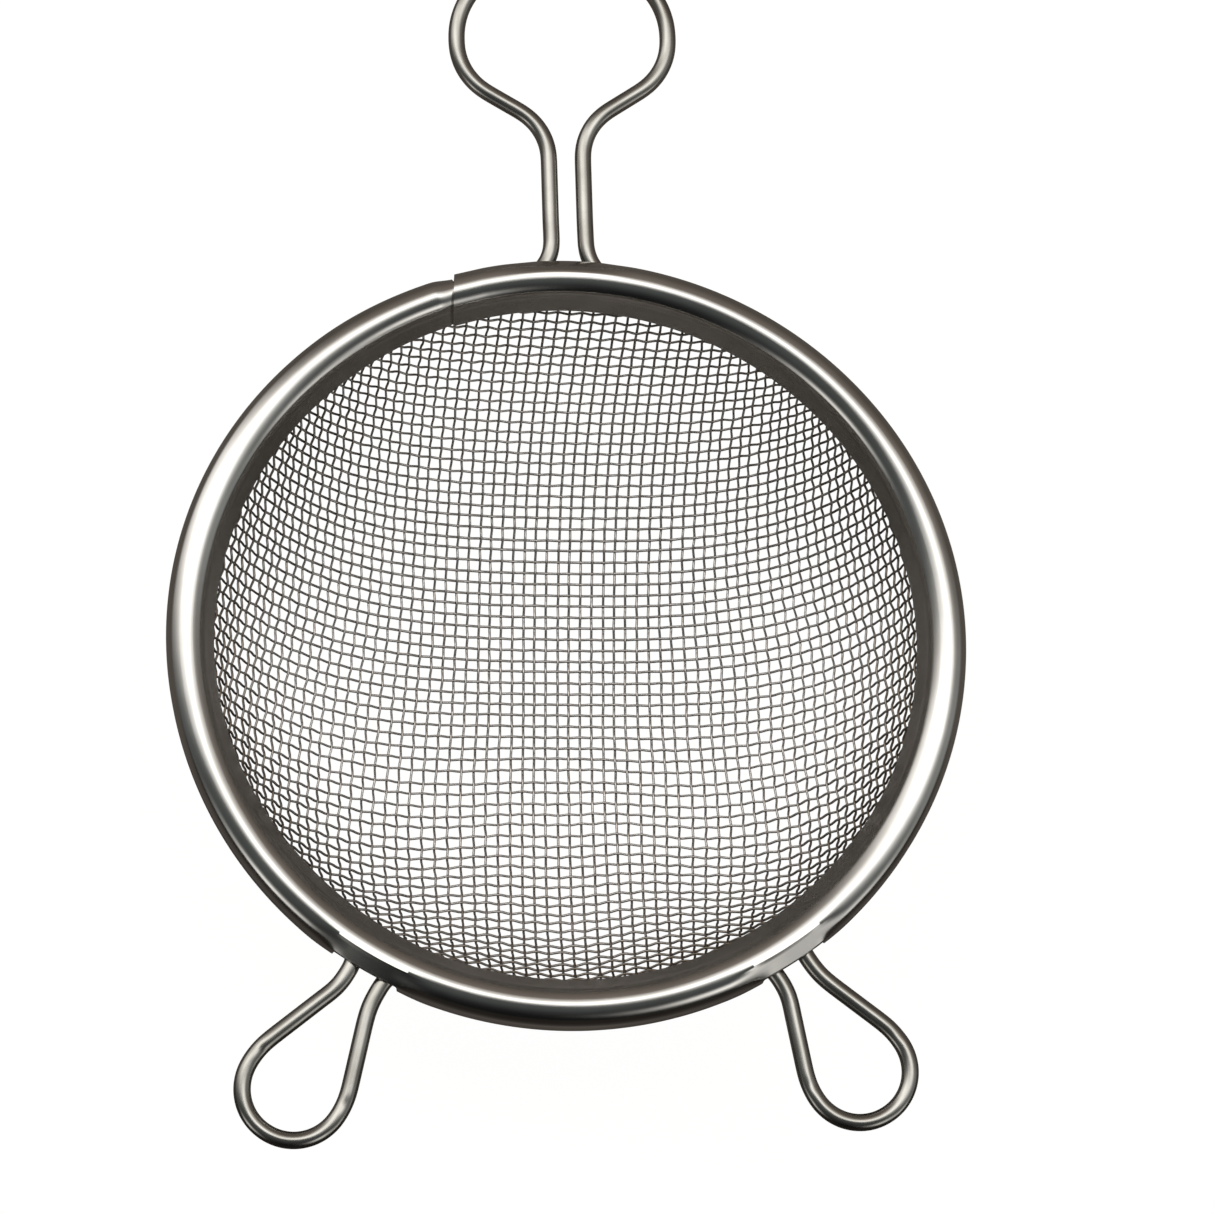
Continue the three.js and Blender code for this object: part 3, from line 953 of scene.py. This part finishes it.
# Soft lights low in the room: direction, spread and strength.
LOW_LIGHTS = (
    ((0.48, -0.78, 0.40), 0.020, 1.6),
    ((0.80, -0.58, 0.12), 0.025, 0.9),
    ((-0.80, -0.58, 0.14), 0.020, 1.3),
)


def build_world():
    """The room seen in the steel: a long soft band overhead, a warm far wall, a dark
    near side and a few low lights; plain pale to the camera."""
    world = bpy.data.worlds.new("studio")
    bpy.context.scene.world = world
    world.use_nodes = True
    tree = world.node_tree
    tree.nodes.clear()
    out = add(tree, "ShaderNodeOutputWorld")
    path = add(tree, "ShaderNodeLightPath")
    pale = add(tree, "ShaderNodeBackground")
    pale.inputs["Color"].default_value = (*PALE, 1)
    room = add(tree, "ShaderNodeBackground")
    direction = add(tree, "ShaderNodeTexCoord").outputs["Generated"]
    split = add(tree, "ShaderNodeSeparateXYZ")
    tree.links.new(direction, split.inputs["Vector"])
    x, y, z = split.outputs["X"], split.outputs["Y"], split.outputs["Z"]
    width = math_node(tree, "MULTIPLY_ADD", math_node(tree, "MULTIPLY", x, x), 0.20, 0.19)
    centre = math_node(tree, "MULTIPLY_ADD", x, -0.30, 0.24)
    band = bell_node(tree, y, centre, width)
    side = math_node(tree, "ABSOLUTE", math_node(tree, "ADD", x, 0.12))
    band = math_node(tree, "MULTIPLY", band, ease(tree, side, 0.35, 1.0, 1.0, 0.12))
    band = math_node(tree, "MULTIPLY", band, ease(tree, z, -0.1, 0.25, 0.0, 1.0))
    parts = [tint(tree, math_node(tree, "MULTIPLY", band, 1.9), (1.0, 0.99, 0.97))]
    far = math_node(tree, "MULTIPLY", ease(tree, y, -0.1, 0.5, 0.0, 1.0),
                    ease(tree, z, -0.1, 0.9, 0.6, 1.2))
    parts.append(tint(tree, far, (0.20, 0.172, 0.15)))
    near = math_node(tree, "MULTIPLY", ease(tree, y, -0.1, 0.5, 1.0, 0.0),
                     ease(tree, y, -1.0, -0.3, 0.1, 1.0))
    parts.append(tint(tree, near, (0.085, 0.092, 0.092)))
    for towards, spread, strength in LOW_LIGHTS:
        dot = add(tree, "ShaderNodeVectorMath", operation="DOT_PRODUCT")
        tree.links.new(direction, dot.inputs[0])
        dot.inputs[1].default_value = Vector(towards).normalized()
        lobe = math_node(tree, "EXPONENT", math_node(
            tree, "DIVIDE", math_node(tree, "SUBTRACT", dot.outputs["Value"], 1.0), spread))
        parts.append(tint(tree, math_node(tree, "MULTIPLY", lobe, strength), (1.0, 0.98, 0.95)))
    tree.links.new(total(tree, parts), room.inputs["Color"])
    choose = add(tree, "ShaderNodeMixShader")
    tree.links.new(path.outputs["Is Camera Ray"], choose.inputs["Fac"])
    tree.links.new(room.outputs[0], choose.inputs[1])
    tree.links.new(pale.outputs[0], choose.inputs[2])
    tree.links.new(choose.outputs[0], out.inputs["Surface"])


def build_lamp():
    """A broad weak panel overhead, for the strainer's faint shadow on the floor."""
    light = bpy.data.lights.new("overhead_panel", "AREA")
    light.shape = "RECTANGLE"
    light.size, light.size_y = 1.2, 0.5
    light.energy = 0.6
    lamp = bpy.data.objects.new("overhead_panel", light)
    towards = Vector((0.0, 0.29, 0.95)).normalized()
    lamp.location = towards * 0.8
    lamp.rotation_euler = towards.to_track_quat("Z", "Y").to_euler()
    lamp.visible_camera = False
    bpy.context.scene.collection.objects.link(lamp)


# The camera at the photograph's angle, in degrees and millimetres.
VIEW_AZIMUTH = -15.0
VIEW_ELEVATION = 76.8
VIEW_DISTANCE = 400.0
VIEW_WIDTH = 121.4    # width of the picture at that distance
AIM_RIGHT = 3.87      # where it aims, from the rim's middle
AIM_UP = 2.95


def build_camera():
    a, e = math.radians(VIEW_AZIMUTH), math.radians(VIEW_ELEVATION)
    back = Vector((math.sin(a) * math.cos(e), -math.cos(a) * math.cos(e), math.sin(e)))
    up = Vector((0, 1, 0))
    up = (up - back * up.dot(back)).normalized()
    right = up.cross(back)
    data = bpy.data.cameras.new("view")
    data.sensor_width = 36
    data.lens = data.sensor_width * VIEW_DISTANCE / VIEW_WIDTH
    data.clip_start, data.clip_end = 0.01, 20
    camera = bpy.data.objects.new("view", data)
    aim = Vector((0, 0, CROWN_Z)) + right * AIM_RIGHT + up * AIM_UP
    place = (aim + back * VIEW_DISTANCE) * MM
    turn = Matrix((right, up, back)).transposed().to_4x4()
    camera.matrix_world = Matrix.Translation(place) @ turn
    bpy.context.scene.collection.objects.link(camera)
    bpy.context.scene.camera = camera
    bpy.context.scene.view_settings.view_transform = "Standard"


# ---- Assembly -----------------------------------------------------------------
build_camera()
build_floor()
build_world()
build_lamp()

rim_steel = rim_material()
wire_steel = wire_material()
cloth_steel = cloth_material()

build_rim(rim_steel)
build_wire("handle_bent_wire", "handle_wire", handle_corners(), 0, 1.8, wire_steel, ())
build_wire("left_rest_wire", "left_rest_loop", loop_corners(LEFT_LOOP),
           180 + LEFT_LOOP["angle"], -1.9, wire_steel, LOOP_MARKS)
build_wire("right_rest_wire", "right_rest_loop", loop_corners(RIGHT_LOOP),
           180 + RIGHT_LOOP["angle"], -1.6, wire_steel, LOOP_MARKS)
build_cloth(cloth_steel)
